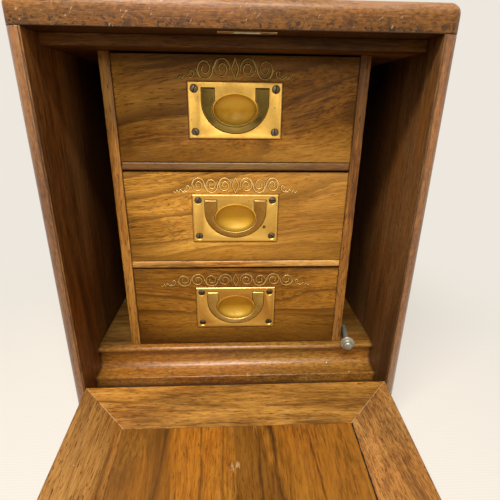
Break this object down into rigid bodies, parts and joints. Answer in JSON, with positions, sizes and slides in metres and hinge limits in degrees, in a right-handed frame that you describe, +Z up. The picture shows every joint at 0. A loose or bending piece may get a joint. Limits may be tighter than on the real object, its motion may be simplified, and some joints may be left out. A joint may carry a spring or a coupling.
{
  "type": "jewelry cabinet",
  "caption": "Antique mahogany and walnut table cabinet for jewelry, with a fall front standing open, drawers with flush brass handles and an open compartment on each side of them.",
  "frame": {"origin": "middle of the closed case's footprint, on the table it stands on", "axes": "+X to the right as the front is faced, +Y from the front to the back, +Z up"},
  "size_m": [0.2782, 0.5177, 0.3325],
  "materials": {
    "mahogany": "polished, worn",
    "walnut": "polished, worn",
    "drawer_wood": "bare",
    "brass": "satin, aged",
    "aged_brass": "brown patina",
    "screw_steel": "darkened",
    "steel": "bright"
  },
  "bodies": {
    "cabinet": {"left_side": "mahogany", "right_side": "mahogany", "left_lining": "walnut", "right_lining": "walnut", "top_board": "mahogany", "strike_plate": "brass", "back_panel": "mahogany", "base_front": "mahogany", "base_board": "mahogany", "floor_board": "walnut", "floor_bearers": "walnut", "base_moulding": "walnut", "ceiling_board": "walnut", "left_upright": "walnut", "right_upright": "walnut", "shelf_lower": "walnut", "shelf_upper": "walnut", "hinge_case_leaves": "brass", "hinge_pins": "brass", "hinge_case_screws": "screw_steel"},
    "flap": {"flap_panel": "mahogany", "flap_field": "walnut", "flap_border_hinge": "walnut", "flap_border_lock": "walnut", "flap_border_left": "walnut", "flap_border_right": "walnut", "hinge_flap_leaves": "brass", "hinge_flap_screws": "screw_steel", "lock_case": "steel", "lock_screws": "screw_steel", "escutcheon": "brass"},
    "bolt": {"lock_bolt": "steel"},
    "pin": {"loose_pin": "steel"},
    "drawer_1": {"drawer_1_front": "walnut", "drawer_1_left": "drawer_wood", "drawer_1_right": "drawer_wood", "drawer_1_back": "drawer_wood", "drawer_1_bottom": "drawer_wood", "handle_1_plate": "brass", "handle_1_screws": "screw_steel"},
    "bail_1": {"handle_1_bail": "aged_brass"},
    "drawer_2": {"drawer_2_front": "walnut", "drawer_2_left": "drawer_wood", "drawer_2_right": "drawer_wood", "drawer_2_back": "drawer_wood", "drawer_2_bottom": "drawer_wood", "handle_2_plate": "brass", "handle_2_screws": "screw_steel"},
    "bail_2": {"handle_2_bail": "aged_brass"},
    "drawer_3": {"drawer_3_front": "walnut", "drawer_3_left": "drawer_wood", "drawer_3_right": "drawer_wood", "drawer_3_back": "drawer_wood", "drawer_3_bottom": "drawer_wood", "handle_3_plate": "brass", "handle_3_screws": "screw_steel"},
    "bail_3": {"handle_3_bail": "aged_brass"}
  },
  "joints": [
    {"name": "flap_hinge", "type": "hinge", "parent": "cabinet", "child": "flap", "pos_m": [0, -0.1158, 0.03065], "axis": [1, 0, 0], "range_deg": [-95.8, 0]},
    {"name": "bolt_slide", "type": "slide", "parent": "flap", "child": "bolt", "axis": [0, -0.9949, -0.1013], "range_m": [0, 0.006]},
    {"name": "pin_slide", "type": "slide", "parent": "cabinet", "child": "pin", "axis": [-0.1392, -0.9903, 0], "range_m": [0, 0.035]},
    {"name": "drawer_1_slide", "type": "slide", "parent": "cabinet", "child": "drawer_1", "axis": [0, -1, 0], "range_m": [0, 0.15]},
    {"name": "bail_1_hinge", "type": "hinge", "parent": "drawer_1", "child": "bail_1", "pos_m": [-0.0014, -0.076, 0.2808], "axis": [-1, 0, 0], "range_deg": [0, 90]},
    {"name": "drawer_2_slide", "type": "slide", "parent": "cabinet", "child": "drawer_2", "axis": [0, -1, 0], "range_m": [0, 0.15]},
    {"name": "bail_2_hinge", "type": "hinge", "parent": "drawer_2", "child": "bail_2", "pos_m": [-0.0014, -0.076, 0.1973], "axis": [-1, 0, 0], "range_deg": [0, 90]},
    {"name": "drawer_3_slide", "type": "slide", "parent": "cabinet", "child": "drawer_3", "axis": [0, -1, 0], "range_m": [0, 0.15]},
    {"name": "bail_3_hinge", "type": "hinge", "parent": "drawer_3", "child": "bail_3", "pos_m": [-0.0014, -0.076, 0.1138], "axis": [-1, 0, 0], "range_deg": [0, 90]}
  ]
}
